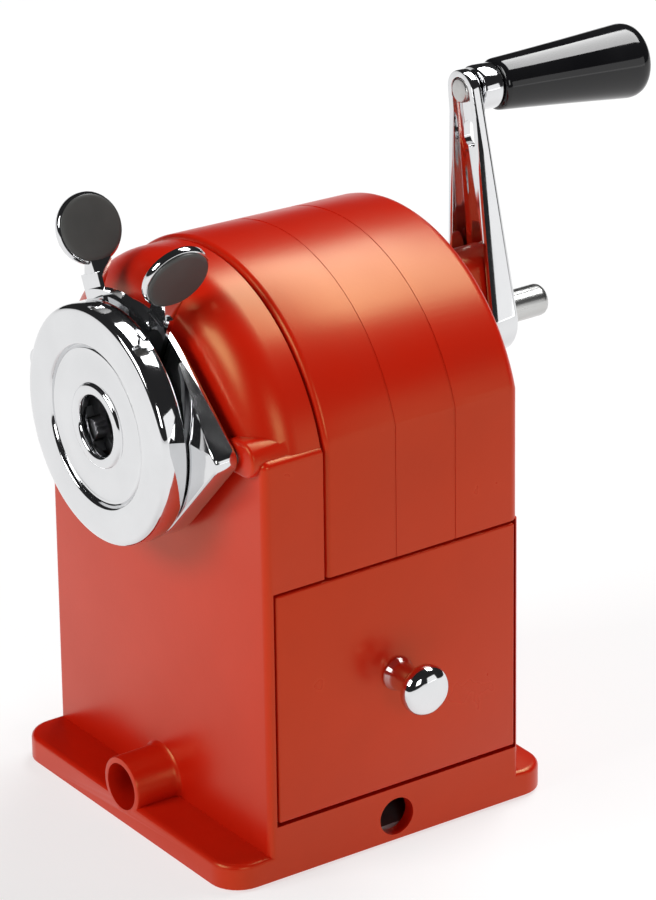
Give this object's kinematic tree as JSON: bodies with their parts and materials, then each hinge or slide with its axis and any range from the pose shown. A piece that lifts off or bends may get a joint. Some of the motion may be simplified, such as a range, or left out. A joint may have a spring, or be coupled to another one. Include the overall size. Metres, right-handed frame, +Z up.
{
  "type": "pencil sharpener",
  "caption": "Hand-cranked desk pencil sharpener with an arched painted metal body, a sprung jaw carriage, a helical cutter head and a pull-out shavings drawer.",
  "frame": {"origin": "on the table, at the middle of the underside of the bounding box", "axes": "+Z up, -Y towards the jaws at the front, +Y towards the crank at the back, +X towards the drawer's knob"},
  "size_m": [0.0832, 0.1294, 0.1305],
  "materials": {
    "red_paint": "deep red gloss enamel on the casting, a little orange-peel",
    "chrome": "bright polished plating",
    "steel": "turned and zinc-plated steel",
    "hard_steel": "ground hardened steel",
    "zinc": "dull grey cast or pressed metal",
    "brass": "turned brass",
    "black_plastic": "polished black moulded plastic",
    "dark_cap": "satin dark grey cap",
    "rubber": "dull black rubber"
  },
  "bodies": {
    "body": {"housing": "red_paint", "arch_cover": "red_paint", "rear_plate": "red_paint", "shaft_bush": "brass", "rear_screw_1": "steel", "rear_screw_2": "steel", "rear_screw_3": "steel", "pencil_guide": "zinc", "ring_gear": "zinc", "ring_screw_1": "steel", "ring_screw_2": "steel", "ring_screw_3": "steel", "base_plate": "zinc", "base_screw_1": "steel", "base_screw_2": "steel", "base_screw_3": "steel", "base_screw_4": "steel", "rubber_foot_1": "rubber", "rubber_foot_2": "rubber", "rubber_foot_3": "rubber", "rubber_foot_4": "rubber", "return_spring_left": "steel", "return_spring_right": "steel"},
    "drawer": {"drawer_front": "red_paint", "drawer_tray": "zinc", "drawer_knob": "chrome", "knob_screw": "steel"},
    "carriage": {"carriage_plate": "chrome", "face_disc": "chrome", "jaw_guide": "zinc", "guide_rod_left": "steel", "guide_rod_right": "steel", "rod_clip_left": "hard_steel", "rod_clip_right": "hard_steel"},
    "left_lever": {"lever_left": "chrome", "lever_cap_left": "dark_cap"},
    "right_lever": {"lever_right": "chrome", "lever_cap_right": "dark_cap"},
    "top_jaw": {"jaw_1": "hard_steel"},
    "right_jaw": {"jaw_2": "hard_steel"},
    "left_jaw": {"jaw_3": "hard_steel"},
    "crank": {"spindle": "steel", "cutter_carrier": "zinc", "carrier_pin": "hard_steel", "cutter_axle": "steel", "crank_hub": "red_paint", "hub_pin": "hard_steel", "crank_arm": "chrome", "handle_pin": "steel", "handle_ferrule": "chrome"},
    "cutter": {"helical_cutter": "hard_steel", "cutter_pinion": "steel"},
    "grip": {"handle_grip": "black_plastic"}
  },
  "joints": [
    {"name": "drawer_slide", "type": "slide", "parent": "body", "child": "drawer", "axis": [1, 0, 0], "range_m": [0, 0.045]},
    {"name": "carriage_slide", "type": "slide", "parent": "body", "child": "carriage", "axis": [0, -1, 0], "range_m": [0, 0.028], "stiffness_N_per_m": 60, "springref_m": -0.01, "deforming": ["return_spring_left", "return_spring_right"]},
    {"name": "left_lever_pinch", "type": "hinge", "parent": "carriage", "child": "left_lever", "pos_m": [-0.0056, -0.05656, 0.0826], "axis": [0, 1, 0], "range_deg": [0, 10], "stiffness_Nm_per_rad": 0.4, "springref_deg": -8.59},
    {"name": "right_lever_pinch", "type": "hinge", "parent": "carriage", "child": "right_lever", "pos_m": [-0.0056, -0.05656, 0.0826], "axis": [0, 1, 0], "range_deg": [-10, 0]},
    {"name": "top_jaw_slide", "type": "slide", "parent": "carriage", "child": "top_jaw", "axis": [0, 0, 1], "range_m": [0, 0.0025]},
    {"name": "right_jaw_slide", "type": "slide", "parent": "carriage", "child": "right_jaw", "axis": [0.866, 0, -0.5], "range_m": [0, 0.0025]},
    {"name": "left_jaw_slide", "type": "slide", "parent": "carriage", "child": "left_jaw", "axis": [-0.866, 0, -0.5], "range_m": [0, 0.0025]},
    {"name": "crank_spin", "type": "hinge", "parent": "body", "child": "crank", "pos_m": [-0.0056, 0.01434, 0.0826], "axis": [0, 1, 0], "continuous": true},
    {"name": "cutter_spin", "type": "hinge", "parent": "crank", "child": "cutter", "pos_m": [-0.0056, -0.0209, 0.09102], "axis": [0, 0.9816, -0.1908], "continuous": true},
    {"name": "grip_spin", "type": "hinge", "parent": "crank", "child": "grip", "pos_m": [-0.01364, 0.02604, 0.12515], "axis": [0.0117, 0.998, -0.0617], "continuous": true}
  ],
  "couplings": [
    {"joint": "right_lever_pinch", "follows": "left_lever_pinch", "ratio": -1},
    {"joint": "top_jaw_slide", "follows": "left_lever_pinch", "m_per_rad": 0.0143},
    {"joint": "right_jaw_slide", "follows": "left_lever_pinch", "m_per_rad": 0.0143},
    {"joint": "left_jaw_slide", "follows": "left_lever_pinch", "m_per_rad": 0.0143},
    {"joint": "cutter_spin", "follows": "crank_spin", "ratio": -3.1818}
  ]
}
